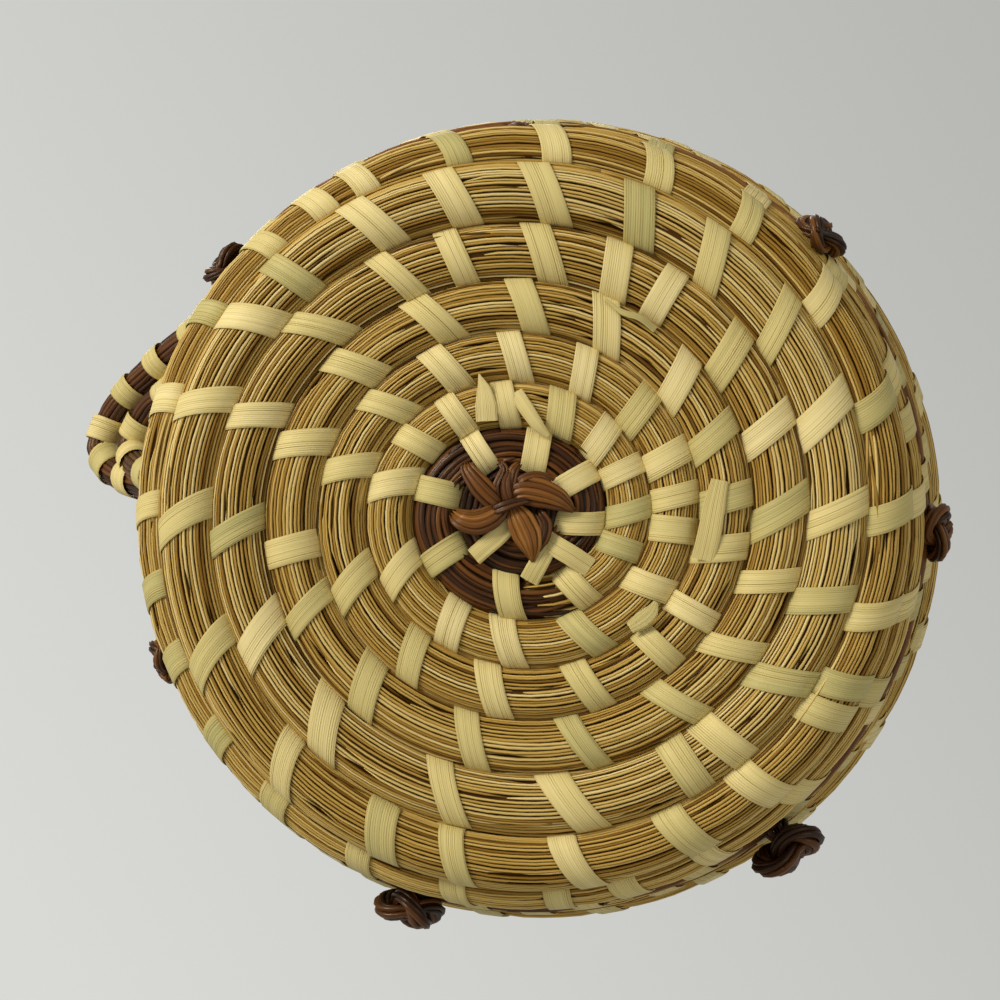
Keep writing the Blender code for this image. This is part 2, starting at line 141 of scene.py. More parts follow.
# Ear handle: middles of the strips and of the needles between them by turns, as places in the photo with heights in
# millimetres
HANDLE_OUTER_ROW = (
    (214, 318, 60.0), (198, 334, 65.0), (180, 348, 69.5), (163, 362, 73.5), (148, 377, 77.0), (132, 392, 80.0),
    (118, 411, 82.0), (107, 430, 83.0), (103, 448, 82.7), (109, 463, 81.0), (119, 472, 78.0), (132, 479, 74.0),
    (147, 483, 69.0), (161, 486, 63.0),
)
HANDLE_INNER_ROW = (
    (203, 364, 62.0), (187, 379, 66.5), (171, 394, 70.5), (154, 408, 75.0), (140, 428, 78.8), (134, 447, 79.8),
    (135, 461, 75.5), (142, 470, 68.5), (152, 475, 62.0),
)

# Where the handle sits on the rim, and the sizes of its two rows
HANDLE_ANGLE = math.radians(181.0)
HANDLE_SEAT = 0.00460
HANDLE_TILT = math.radians(60.0)
HANDLE_RADIUS = 0.0041
HANDLE_CORE_RADIUS = 0.0033
HANDLE_NEEDLES = 17
HANDLE_NEEDLE_WIDTH = 0.00078
HANDLE_NEEDLE_INSET = 0.0007
HANDLE_CINCH_SHARE = 0.07
HANDLE_STEPS = 9
HANDLE_LEAN = 0.0008
HANDLE_STRIP_WIDTH = 0.0060
HANDLE_STRIP_RADIUS = HANDLE_RADIUS * 0.96 + 0.0004

# Knots round the wall: angle in degrees, further distance out of the wall, half span and twist
WALL_KNOTS = (
    (204.2, -0.0017, 0.0046, 0.4), (143.0, -0.0020, 0.0042, 1.7), (91.1, 0.0014, 0.0058, 0.2),
    (36.8, 0.0030, 0.0062, 0.9), (-12.8, -0.0004, 0.0050, 2.6), (-58.0, -0.0002, 0.0046, 0.1),
    (-106.5, -0.0044, 0.0040, 1.2),
)

# View of the photo, from below the base, fitted to the picture's 1000 pixels
FOCAL_PIXELS = 1522.0
IMAGE_PIXELS = 1000.0
VIEW_DISTANCE = 0.300
VIEW_RIGHT = math.sin(math.radians(4.0))
VIEW_DOWN = math.sin(math.radians(1.2))
CENTRE_PIXEL = (517.5, 511.1)

rng = np.random.default_rng(20)


# View

def photo_view():
    """Spot of the camera and its directions to the right, up and forwards."""
    side = IMAGE_RIGHT * VIEW_RIGHT - IMAGE_UP * VIEW_DOWN
    spot = (side - UP * math.sqrt(1.0 - side.length_squared)) * VIEW_DISTANCE
    sight = -spot.normalized()
    level = (IMAGE_RIGHT - sight * IMAGE_RIGHT.dot(sight)).normalized()
    upright = level.cross(sight)
    sight = (sight * FOCAL_PIXELS - level * (CENTRE_PIXEL[0] - IMAGE_PIXELS / 2.0)
             + upright * (CENTRE_PIXEL[1] - IMAGE_PIXELS / 2.0)).normalized()
    level = (level - sight * level.dot(sight)).normalized()
    return spot, level, level.cross(sight), sight


UP = Vector((0.0, 0.0, 1.0))
IMAGE_RIGHT = Vector((math.cos(OVAL_ANGLE), math.sin(OVAL_ANGLE), 0.0))
IMAGE_UP = Vector((math.cos(OVAL_ANGLE - math.pi / 2.0), math.sin(OVAL_ANGLE - math.pi / 2.0), 0.0))
VIEW_SPOT, VIEW_LEVEL, VIEW_UPRIGHT, VIEW_SIGHT = photo_view()


def seen_point(pixel_x, pixel_y, height):
    """The point at a height, in millimetres, that the photo shows at a pixel."""
    middle = IMAGE_PIXELS / 2.0
    ray = VIEW_SIGHT * FOCAL_PIXELS + VIEW_LEVEL * (pixel_x - middle) + VIEW_UPRIGHT * (middle - pixel_y)
    return VIEW_SPOT + ray * ((height * MM - VIEW_SPOT.z) / ray.z)


# Path of the coil

def wall_profile(run):
    """Radius, height and slope of the row centres after a run along the wall from the axis."""
    run = np.asarray(run, float)
    dish_bend = -DISH_SLOPE / BASE_RUN
    dished = np.clip(run, 0.0, BASE_RUN) * dish_bend
    radius = np.sin(dished) / dish_bend
    height = (1.0 - np.cos(dished)) / dish_bend
    foot_run = FOOT_RADIUS * (DISH_SLOPE + WALL_SLOPE)
    slope = dished + np.clip(run - BASE_RUN, 0.0, foot_run) / FOOT_RADIUS
    radius = radius + FOOT_RADIUS * (np.sin(slope) - np.sin(dished))
    height = height + FOOT_RADIUS * (np.cos(dished) - np.cos(slope))
    straight = np.clip(run - BASE_RUN - foot_run, 0.0, None)
    return radius + straight * np.cos(slope), height + straight * np.sin(slope), slope


FOOT_DROP = float(wall_profile(BASE_RUN + FOOT_RADIUS * DISH_SLOPE)[1])


def row_run(turn):
    return ROW_PITCH * np.asarray(turn, float) + np.interp(turn, ROW_SHIFT_TURNS, ROW_SHIFTS)


def groove_run(turn):
    """Run along the wall to the groove between a row and the next one out."""
    return (row_run(turn) + row_run(np.asarray(turn, float) + 1.0)) / 2.0


def row_half_width(turn):
    return (groove_run(turn) - groove_run(np.asarray(turn, float) - 1.0)) / 2.0 + ROW_PRESS


def row_radius(turn):
    return wall_profile(row_run(turn))[0]


def taper_share(turn):
    """Size of the bundle against its full size: it grows out of the eye and thins at the rim's end."""
    turn = np.asarray(turn, float)
    start = np.clip((turn - EYE_TURN) / EYE_TURNS, 0.0, 1.0)
    end = np.clip((turn - RIM_END_TURN + TAPER_TURNS) / TAPER_TURNS, 0.0, 1.0)
    return (EYE_SHARE + (1.0 - EYE_SHARE) * start) * (1.0 - (1.0 - TAPER_END_SHARE) * end)


def coil_points(turn, across, out):
    """Points beside the coil, at distances across the rows and out of the wall."""
    turn = np.asarray(turn, float)
    middle = (groove_run(turn) + groove_run(turn - 1.0)) / 2.0
    middle = middle - row_half_width(turn) * (1.0 - taper_share(turn)) * (turn > 2.0)
    radius, height, slope = wall_profile(middle)
    angle = START_ANGLE - FULL_TURN * turn
    radius = radius + np.interp(turn, OVAL_TURNS, OVAL_SHIFTS) * np.cos(2.0 * (angle - OVAL_ANGLE))
    radius = radius + across * np.cos(slope) + out * np.sin(slope)
    height = height - FOOT_DROP + FOOT_LIFT + across * np.sin(slope) - out * np.cos(slope)
    return np.stack([radius * np.cos(angle), radius * np.sin(angle), height], axis=-1)


def unit(vectors):
    return vectors / np.maximum(np.linalg.norm(vectors, axis=-1, keepdims=True), 1e-12)


def wall_outs(turn):
    """Directions out of the wall along the coil."""
    return unit(coil_points(turn, 0.0, 0.001) - coil_points(turn, 0.0, 0.0))


def turns_for(length, turn):
    return length / (FULL_TURN * row_radius(turn))


def turn_at(angle, turn):
    """The first turn from a given one on at which the coil passes an angle round the basket."""
    share = (START_ANGLE - angle) / FULL_TURN
    return math.ceil(turn - share) + share


# Stitches

def lay_stitches():
    """Turns at the inner groove and at the outer groove of every stitch, from the start to the rim's end."""
    seen = [(start, start + lean) for start, lean in SEEN_STITCHES]
    turn = seen[-1][0]
    while turn < RIM_END_TURN - TAPER_TURNS / 3.0:
        turn += (1.0 + rng.uniform(-0.12, 0.12)) / UPPER_STITCHES
        seen.append((turn, turn + UPPER_LEAN_TURNS * rng.uniform(0.8, 1.2)))
    return np.array(seen)


STITCHES = lay_stitches()
STITCH_WIDTHS = STRIP_WIDTH * rng.uniform(0.86, 1.14, len(STITCHES)) * np.interp(
    STITCHES[:, 0], (1.0, 3.0, 7.0, 13.0), (0.92, 0.96, 1.08, 1.0))


def stitch_turns(index, section):
    """Turn at which the strip of a stitch passes an angle of the section. Below zero it runs on to the next stitch."""
    inner, outer = STITCHES[index, 0], STITCHES[index, 1]
    following = STITCHES[np.minimum(index + 1, len(STITCHES) - 1), 0]
    share = (1.0 + np.cos(section)) / 2.0
    shown = inner + (outer - inner) * share
    hidden = outer + (following - outer) * (1.0 - share)
    return np.where(section >= 0.0, shown, hidden)


def cinch(turn, section):
    """How far the strips draw the bundle in, as a share of its size."""
    section = (section + math.pi) % FULL_TURN - math.pi
    middles = STITCHES.mean(axis=1)
    near = np.searchsorted(middles, turn)
    offset = np.full(np.shape(turn), np.inf)
    for shift in (-2, -1, 0, 1):
        index = np.clip(near + shift, 0, len(STITCHES) - 1)
        offset = np.minimum(offset, np.abs(turn - stitch_turns(index, section)))
    distance = offset * FULL_TURN * row_radius(turn)
    eased = np.clip((distance - STRIP_WIDTH * 0.6) / CINCH_REACH, 0.0, 1.0)
    return 1.0 - CINCH_SHARE * (1.0 - eased * eased * (3.0 - 2.0 * eased))


def bundle_points(turn, section, inset):
    """Points on the bound bundle, an inset below its surface."""
    drawn, taper = cinch(turn, section), taper_share(turn)
    across = (row_half_width(turn) * taper * (0.7 + 0.3 * drawn) - inset) * np.cos(section)
    out = (BUNDLE_OUT * taper * drawn - inset) * np.sin(section)
    return coil_points(turn, across, out)


def bundle_outs(turn, section):
    """Directions that point out of the bundle's surface."""
    return unit(bundle_points(turn, section, 0.0) - bundle_points(turn, section, 0.001))


def placed(item):
    """An object put into the scene."""
    bpy.context.scene.collection.objects.link(item)
    return item


# Tubes swept along many paths at once

@lru_cache(maxsize=None)
def tube_template(stations, sides):
    """A closed tube with one ring of vertices a station, its height giving the station's number."""
    mesh = bmesh.new()
    bmesh.ops.create_cone(mesh, cap_ends=True, segments=sides, radius1=1.0, radius2=1.0, depth=stations - 1)
    upright = [edge for edge in mesh.edges if abs(edge.verts[0].co.z - edge.verts[1].co.z) > 0.5]
    bmesh.ops.subdivide_edges(mesh, edges=upright, cuts=stations - 2, use_grid_fill=True)
    bmesh.ops.translate(mesh, verts=mesh.verts, vec=(0.0, 0.0, (stations - 1) / 2.0))
    data = bpy.data.meshes.new("tube_template")
    mesh.to_mesh(data)
    mesh.free()
    return data


def strand(centres, outs, width, height, tint, ways=None):
    """One path with the half width and half height of its section at each station. The width lies
    square to the path, or along given ways."""
    count = len(centres)
    centres = np.asarray(centres, float)
    tangents = unit(np.gradient(centres, axis=0))
    sides = unit(np.cross(tangents, np.broadcast_to(outs, centres.shape)))
    if ways is not None:
        sides = ways * np.sign(np.sum(ways * sides, axis=1, keepdims=True).mean())
    steps = np.linalg.norm(np.diff(centres, axis=0), axis=1)
    return {
        "centres": centres,
        "sides": sides,
        "outs": unit(np.cross(sides, tangents)),
        "width": np.broadcast_to(width, (count,)),
        "height": np.broadcast_to(height, (count,)),
        "tint": np.broadcast_to(tint, (count,)),
        "along": np.concatenate([[0.0], np.cumsum(steps)]) + rng.uniform(0.0, 1.0),
    }


def sweep_object(name, strands, sides, material, nodes, flatness=1.0):
    """One piece with a closed tube for each strand, which stands for the nodes. A flatness below 1 squares
    the section off into a strip."""
    mesh = bmesh.new()
    for item in strands:
        mesh.from_mesh(tube_template(len(item["centres"]), sides))
    data = bpy.data.meshes.new(name)
    mesh.to_mesh(data)
    mesh.free()
    counts = [len(item["centres"]) for item in strands]
    sizes = [len(tube_template(count, sides).vertices) for count in counts]
    place = np.empty(len(data.vertices) * 3)
    data.vertices.foreach_get("co", place)
    place = place.reshape(-1, 3)
    starts = np.concatenate([[0], np.cumsum(counts)[:-1]])
    station = np.repeat(starts, sizes) + np.rint(place[:, 2]).astype(int)
    column = {key: np.concatenate([item[key] for item in strands])[station] for key in strands[0]}
    round_x, round_y = place[:, 0], place[:, 1]
    across = np.sign(round_x) * np.abs(round_x) ** flatness
    depth = np.sign(round_y) * np.abs(round_y) ** flatness
    points = column["centres"] + column["sides"] * (across * column["width"])[:, None]
    points = points + column["outs"] * (depth * column["height"])[:, None]
    data.vertices.foreach_set("co", points.ravel())
    for key, values in (("tint", column["tint"]), ("along", column["along"]), ("across", across)):
        data.attributes.new(key, "FLOAT", "POINT").data.foreach_set("value", values.astype(np.float32))
    data.polygons.foreach_set("use_smooth", np.ones(len(data.polygons), bool))
    if flatness < 1.0:
        data.set_sharp_from_angle(angle=math.radians(50.0))
    data.materials.append(material)
    data.update()
    piece = placed(bpy.data.objects.new(name, data))
    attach(piece, "root")
    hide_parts(*nodes)


def strip_object(name, strip, node):
    sweep_object(name, [strip], STRIP_SIDES, palmetto_material, [node], STRIP_FLATNESS)


def drift(distance, wavelength, size):
    """A smooth random wander along a distance."""
    total = np.zeros(np.shape(distance))
    for part in (1.0, 0.47, 0.23):
        total = total + part * np.sin(FULL_TURN * distance / (wavelength * part) + rng.uniform(0.0, FULL_TURN))
    return total * size / 1.7


def bundle_chain(first, last, slots, half_width, lengths, tints, ragged, wander):
    """Stalks that lie side by side round the bundle, each slot a chain of stalks whose ends tuck in.
    Gives each stalk with the turn of its middle."""
    stalks = []
    for slot in range(slots):
        start = first + float(turns_for(rng.uniform(0.0, ragged), first + 0.2))
        stop = last + float(turns_for(rng.uniform(0.0, ragged), last))
        first_length = rng.uniform(0.15, 1.0) * lengths[1]
        while start < stop - 0.002:
            length = first_length or rng.uniform(*lengths)
            first_length = None
            end = min(start + float(turns_for(length, start + 0.1)), stop)
            if stop - end < 0.05:
                end = stop
            metres = FULL_TURN * float(row_radius((start + end) / 2.0)) * (end - start)
            step = min(STALK_STEP, 0.15 * float(row_radius(start + 0.15)))
            count = max(8, int(metres / step))
            turn = np.linspace(start, end, count)
            distance = np.linspace(0.0, metres, count)
            width = half_width * rng.uniform(0.84, 1.14)
            section = FULL_TURN * (slot + rng.uniform(-0.16, 0.16)) / slots + drift(distance, *wander)
            to_end = np.minimum(distance, distance[-1] - distance)
            tuck = np.clip(1.0 - to_end / TUCK_LENGTH, 0.0, 1.0) ** 2
            inset = width + tuck * TUCK_DEPTH + drift(distance, 0.12, width * 0.16) + width * rng.uniform(-0.19, 0.44)
            size = width * (1.0 - 0.5 * tuck) * (1.0 + drift(distance, 0.04, 0.04))
            stalk = strand(bundle_points(turn, section, inset), bundle_outs(turn, section), size, size, tints())
            stalks.append(((start + end) / 2.0, stalk))
            start = end
    return stalks


def core_strands(first, last, stalk_width):
    """The inside of the bundle and the filling of the groove beside it, seen between the stalks, dark as painted
    shade.
    """
    turn = np.linspace(first, last, int((last - first) * CORE_STEPS) + 3)
    size = taper_share(turn)
    width = row_half_width(turn) * size - CORE_INSET
    # The core takes tint 0, the darkest colour, as painted shade seen between the stalks
    strands = [strand(coil_points(turn, 0.0, 0.0), wall_outs(turn), width, BUNDLE_OUT * CORE_SHARE * size, 0.0)]
    if COIL_START_TURN < last <= RIM_COIL_TURN:
        turn = turn[turn > COIL_START_TURN]
        depth = np.interp(turn, GROOVE_DEPTH_TURNS, GROOVE_DEPTHS)
        # The groove's filling takes tint 0, the darkest colour, as painted shade in the groove
        strands.append(strand(coil_points(turn, row_half_width(turn), -depth), wall_outs(turn),
                              GROOVE_HALF_WIDTH, GROOVE_BOTTOM - depth, 0.0))
    if FOOT_TURN < last <= RIM_COIL_TURN:
        start = max(first, FOOT_TURN)
        turn = np.linspace(start, last, int((last - start) * GROOVE_STEPS) + 3)
        distance = turn * FULL_TURN * WALL_RADIUS
        for place in (-1.6, 0.0, 1.6):
            across = row_half_width(turn) - ROW_PRESS + place * stalk_width
            across = across + drift(distance, 0.06, stalk_width * 0.7)
            out = stalk_width * (0.7 + 0.5 * abs(place)) + drift(distance, 0.07, stalk_width * 0.4)
            # These stalks take darker tints than most, as painted shade in the opened groove
            strands.append(strand(coil_points(turn, across, out), wall_outs(turn), stalk_width, stalk_width,
                                  rng.uniform(0.2, 0.5)))
    return strands


# Materials

def srgb(red, green, blue):
    """A colour as it is seen on a screen, turned into the shader's linear values."""
    def linear(value):
        value /= 255.0
        return value / 12.92 if value <= 0.04045 else ((value + 0.055) / 1.055) ** 2.4
    return (linear(red), linear(green), linear(blue), 1.0)


def add_node(tree, kind, **inputs):
    node = tree.nodes.new(kind)
    for name, value in inputs.items():
        node.inputs[name.replace("_", " ")].default_value = value
    return node


def math_node(tree, operation, first, second=None, third=None):
    node = tree.nodes.new("ShaderNodeMath")
    node.operation = operation
    for socket, value in zip(node.inputs, (first, second, third)):
        if value is None:
            continue
        if isinstance(value, (int, float)):
            socket.default_value = value
        else:
            tree.links.new(value, socket)
    return node.outputs[0]


def ramp_node(tree, factor, stops):
    node = tree.nodes.new("ShaderNodeValToRGB")
    ramp = node.color_ramp
    while len(ramp.elements) < len(stops):
        ramp.elements.new(0.5)
    for element, (position, colour) in zip(ramp.elements, stops):
        element.position = position
        element.color = colour
    tree.links.new(factor, node.inputs[0])
    return node.outputs[0]


def noise_node(tree, along, across, spread, detail):
    """Noise read at two distances on a fibre, its own for each fibre."""
    vector = tree.nodes.new("ShaderNodeCombineXYZ")
    for socket, value in zip(vector.inputs, (along, across, spread)):
        tree.links.new(value, socket)
    noise = add_node(tree, "ShaderNodeTexNoise", Scale=1.0, Detail=detail)
    tree.links.new(vector.outputs[0], noise.inputs["Vector"])
    return noise.outputs["Fac"]


def fibre_group():
    """Group that gives streaks along a fibre, fine ribs across it and a mask at its edges for painted shade, from the
    piece's own attributes.
    """
    tree = bpy.data.node_groups.new("fibre_streaks", "ShaderNodeTree")
    for name, value in (("Streak Length", 0.01), ("Streak Width", 0.3), ("Ribs", 9.0)):
        tree.interface.new_socket(name, in_out="INPUT", socket_type="NodeSocketFloat").default_value = value
    for name in ("Tint", "Streaks", "Patches", "Ribs", "Edge Shade"):
        tree.interface.new_socket(name, in_out="OUTPUT", socket_type="NodeSocketFloat")
    start = tree.nodes.new("NodeGroupInput")
    end = tree.nodes.new("NodeGroupOutput")
    values = {}
    for name in ("tint", "along", "across"):
        reader = tree.nodes.new("ShaderNodeAttribute")
        reader.attribute_name = name
        values[name] = reader.outputs["Fac"]
    tint, across = values["tint"], values["across"]
    lengthwise = math_node(tree, "DIVIDE", values["along"], start.outputs["Streak Length"])
    sidewise = math_node(tree, "DIVIDE", across, start.outputs["Streak Width"])
    spread = math_node(tree, "MULTIPLY", tint, 40.0)
    patches_along = math_node(tree, "MULTIPLY", lengthwise, 0.6)
    ribs_along = math_node(tree, "MULTIPLY", lengthwise, 0.5)
    ribs_across = math_node(tree, "MULTIPLY", across, 4.0)
    wave = math_node(tree, "SINE", math_node(
        tree, "MULTIPLY", across, math_node(tree, "MULTIPLY", start.outputs["Ribs"], math.pi)))
    strength = math_node(
        tree, "MULTIPLY_ADD", noise_node(tree, ribs_along, ribs_across, spread, 2.0), 2.2, -0.45)
    for output, value in (
        ("Tint", tint),
        ("Streaks", noise_node(tree, lengthwise, sidewise, spread, 3.0)),
        ("Patches", noise_node(tree, patches_along, across, spread, 2.0)),
        ("Ribs", math_node(tree, "MULTIPLY", math_node(tree, "MULTIPLY_ADD", wave, 0.5, 0.5), strength)),
        # Edge mask: painted shade at the sides of each fibre, where neighbouring fibres meet
        ("Edge Shade", math_node(tree, "POWER", math_node(tree, "ABSOLUTE", across), 3.5)),
    ):
        tree.links.new(value, end.inputs[output])
    return tree


FIBRE_GROUP = fibre_group()


def fibre_material(name, stops, roughness, gloss, streak, fibre_values, rib_depth, edge_shade_depth, dark, bump):
    """Dry plant fibre: a colour for each stalk or strip, streaked and blotched, with ribs in a dark one and the edges
    darkened in it as painted shade between the fibres.
    """
    material = bpy.data.materials.new(name)
    material.use_nodes = True
    tree = material.node_tree
    shader = tree.nodes["Principled BSDF"]
    shader.inputs["Specular IOR Level"].default_value = gloss
    shader.inputs["Specular Tint"].default_value = (1.0, 0.88, 0.68, 1.0)
    fibre = tree.nodes.new("ShaderNodeGroup")
    fibre.node_tree = FIBRE_GROUP
    for key, value in zip(("Streak Length", "Streak Width", "Ribs"), fibre_values):
        fibre.inputs[key].default_value = value
    streaks = fibre.outputs["Streaks"]
    shift = math_node(tree, "MULTIPLY_ADD", streaks, streak, -streak / 2.0)
    patch = math_node(tree, "MULTIPLY_ADD", fibre.outputs["Patches"], 0.5 * streak, -0.25 * streak)
    factor = math_node(tree, "ADD", math_node(tree, "ADD", fibre.outputs["Tint"], shift), patch)
    ribs = math_node(tree, "POWER", math_node(tree, "MAXIMUM", fibre.outputs["Ribs"], 0.0), 2.5)
    # Painted shade: the fibre's edges darken towards the dark colour, as shade between neighbouring stalks
    edge = math_node(tree, "MULTIPLY", fibre.outputs["Edge Shade"], edge_shade_depth)
    rib_lines_and_edge_shade = math_node(tree, "MAXIMUM", math_node(tree, "MULTIPLY", ribs, rib_depth), edge)
    mix = tree.nodes.new("ShaderNodeMix")
    mix.data_type = "RGBA"
    mix.inputs["B"].default_value = dark
    tree.links.new(rib_lines_and_edge_shade, mix.inputs["Factor"])
    tree.links.new(ramp_node(tree, factor, stops), mix.inputs["A"])
    tree.links.new(mix.outputs["Result"], shader.inputs["Base Color"])
    tree.links.new(math_node(tree, "MULTIPLY_ADD", streaks, 0.3, roughness - 0.15), shader.inputs["Roughness"])
    relief = math_node(tree, "SUBTRACT", streaks, math_node(tree, "MULTIPLY", ribs, 0.8))
    bumped = add_node(tree, "ShaderNodeBump", Strength=bump, Distance=0.0002)
    tree.links.new(relief, bumped.inputs["Height"])
    tree.links.new(bumped.outputs["Normal"], shader.inputs["Normal"])
    return material


# Each material darkens its fibres' edges by the edge depth, as painted shade between neighbouring fibres
grass_material = fibre_material(
    "sweetgrass",
    ((0.0, srgb(76, 45, 6)), (0.25, srgb(150, 110, 38)), (0.5, srgb(194, 157, 76)), (0.75, srgb(215, 184, 106)),
     (1.0, srgb(234, 209, 140))),
    roughness=0.42, gloss=0.22, streak=0.35, fibre_values=(0.014, 0.7, 1.0), rib_depth=0.0, edge_shade_depth=0.85,
    dark=srgb(62, 35, 4), bump=0.25,
)
needle_material = fibre_material(
    "pine_needles",
    ((0.0, srgb(20, 9, 3)), (0.3, srgb(58, 30, 11)), (0.6, srgb(108, 64, 25)), (0.85, srgb(144, 92, 36)),
     (1.0, srgb(184, 130, 62))),
    roughness=0.34, gloss=0.35, streak=0.6, fibre_values=(0.015, 0.35, 1.5), rib_depth=0.35, edge_shade_depth=0.62,
    dark=srgb(20, 9, 4), bump=0.6,
)
palmetto_material = fibre_material(
    "palmetto_strip",
    ((0.0, srgb(180, 172, 110)), (0.3, srgb(208, 192, 124)), (0.65, srgb(227, 207, 136)), (1.0, srgb(240, 221, 157))),
    roughness=0.5, gloss=0.25, streak=0.8, fibre_values=(0.03, 0.11, 13.0), rib_depth=0.9, edge_shade_depth=0.35,
    dark=srgb(158, 132, 62), bump=0.5,
)


# Coil

def grass_tint():
    """A few stalks are dark, some are pale and most are between."""
    kind = rng.random()
    if kind < 0.10:
        return rng.uniform(0.08, 0.3)
    return rng.uniform(0.70, 0.98) if kind > 0.82 else rng.normal(0.53, 0.13)


def needle_tint():
    return rng.uniform(0.15, 0.85)


# Stalks of each kind: places round the bundle, half width, lengths, tints, how ragged a stretch begins and ends,
# and the length and size of their wander
GRASS = {"slots": 46, "half_width": 0.00032, "lengths": (0.10, 0.32), "tints": grass_tint, "ragged": 0.012,
         "wander": (0.09, 0.024)}
NEEDLES = {"slots": 24, "half_width": 0.00066, "lengths": (0.10, 0.22), "tints": needle_tint, "ragged": 0.010,
           "wander": (0.045, 0.100)}
# Stretches of the coil with one kind of fibre, and their pieces: node, piece and the turn where it ends, or the rest
REST = 99.0
CHAINS = (
    (EYE_TURN, GRASS_TURN, NEEDLES, 6, needle_material, "pine_needles",
     (("start_knot", "eye_needles", COIL_START_TURN - 0.2), ("start_coil", "start_bundle", REST))),
    (GRASS_TURN, BAND_NEEDLE_TURN, GRASS, 5, grass_material, "sweetgrass",
     (("base_coil", "base_bundle", WALL_COIL_TURN), ("wall_coil", "wall_bundle", REST))),
    (BAND_NEEDLE_TURN, UPPER_COIL_TURN, NEEDLES, 6, needle_material, "pine_needles",
     (("band_coil", "band_bundle", REST),)),
    (UPPER_COIL_TURN, RIM_END_TURN, GRASS, 5, grass_material, "sweetgrass",
     (("upper_coil", "upper_bundle", RIM_COIL_TURN), ("rim_coil", "rim_bundle", REST))),
)
for first, last, kind, sides, material, slot, pieces in CHAINS:
    stalks = bundle_chain(first, last, **kind)
    piece_first = first
    for node, name, limit in pieces:
        piece_last = min(limit, last)
        own = [stalk for middle, stalk in stalks if piece_first <= middle < piece_last or
               (piece_last == last and middle >= last)]
        own += core_strands(piece_first, piece_last, kind["half_width"])
        sweep_object(name, own, sides, material, [node])
        piece_first = piece_last


# Palmetto strips

def winding_strand(first, last):
    """The strip wound on from one stitch to the next."""
    chosen = [index for index in range(len(STITCHES)) if first <= STITCHES[index, 0] < last]
    turns, sections, tints = [], [], []
    for index in chosen:
        last_step = SECTION_STEPS if index != chosen[-1] else SECTION_STEPS // 2 + 3
        section = math.pi - FULL_TURN * np.arange(last_step) / SECTION_STEPS
        wrapped = np.where(np.abs(section) < 1e-9, 0.0, section)
        turns.append(stitch_turns(np.full(last_step, index), wrapped))
        sections.append(section)
        tints.append(np.full(last_step, rng.uniform(0.1, 0.95)))
    turn, section, tint = np.concatenate(turns), np.concatenate(sections), np.concatenate(tints)
    index = np.concatenate([np.full(len(part), number) for number, part in zip(chosen, turns)])
    centres = bundle_points(turn, section, -STRIP_LIFT)
    ways = coil_points(turn + 0.0005, 0.0, 0.0) - coil_points(turn - 0.0005, 0.0, 0.0)
    outs = bundle_outs(turn, section)
    ways = unit(ways - outs * np.sum(ways * outs, axis=1, keepdims=True))
    lean = np.abs(STITCHES[index, 1] - STITCHES[index, 0]) * FULL_TURN * row_radius(turn)
    slant = np.sqrt(1.0 + (lean / (2.0 * row_half_width(turn))) ** 2)
    return strand(centres, outs, STITCH_WIDTHS[index] / 2.0 * slant, STRIP_THICKNESS / 2.0, tint, ways)


BINDINGS = (
    ("start_binding", 0.0, GRASS_TURN),
    ("base_binding", GRASS_TURN, 5.45),
    ("foot_binding", 5.45, 6.45),
    ("wall_binding", 6.45, BAND_COIL_TURN),
    ("band_binding", BAND_COIL_TURN, UPPER_COIL_TURN),
    ("upper_binding", UPPER_COIL_TURN, RIM_COIL_TURN),
    ("rim_binding", RIM_COIL_TURN, REST),
)
for node, first, last in BINDINGS:
    strip_object(node.replace("binding", "strip"), winding_strand(first, last), node)


# Loose ends of stalks and strips

def smooth_path(points, count):
    """A smooth curve through points, at even steps of their number."""
    points = np.array([tuple(point) for point in points])
    knots = np.arange(len(points))
    places = np.linspace(0.0, len(points) - 1.0, count)
    padded = np.vstack([2.0 * points[0] - points[1], points, 2.0 * points[-1] - points[-2]])
    index = np.minimum(places.astype(int), len(points) - 2)
    share = (places - knots[index])[:, None]
    before, near, far, after = (padded[index + shift] for shift in range(4))
    return 0.5 * (2.0 * near + (far - before) * share + (2.0 * before - 5.0 * near + 4.0 * far - after) * share**2
                  + (3.0 * near - before - 3.0 * far + after) * share**3)


def loose_stalk(turn, section, length, climb, lift, tint, half_width):
    """A short stalk that lies on the bundle and runs aslant into the groove."""
    count = 10
    share = np.linspace(0.0, 1.0, count)
    turns = turn + float(turns_for(length, turn)) * (share - 0.5)
    height = lift * np.sin(math.pi * np.clip(share * 1.1, 0.0, 1.0))
    places = bundle_points(turns, section + climb * (share - 0.5), half_width * 0.6 - height)
    size = half_width * np.interp(share, (0.0, 0.1, 0.9, 1.0), (0.5, 1.0, 1.0, 0.7))
    return strand(places, bundle_outs(turns, np.full(count, section)), size, size * 0.8, tint)


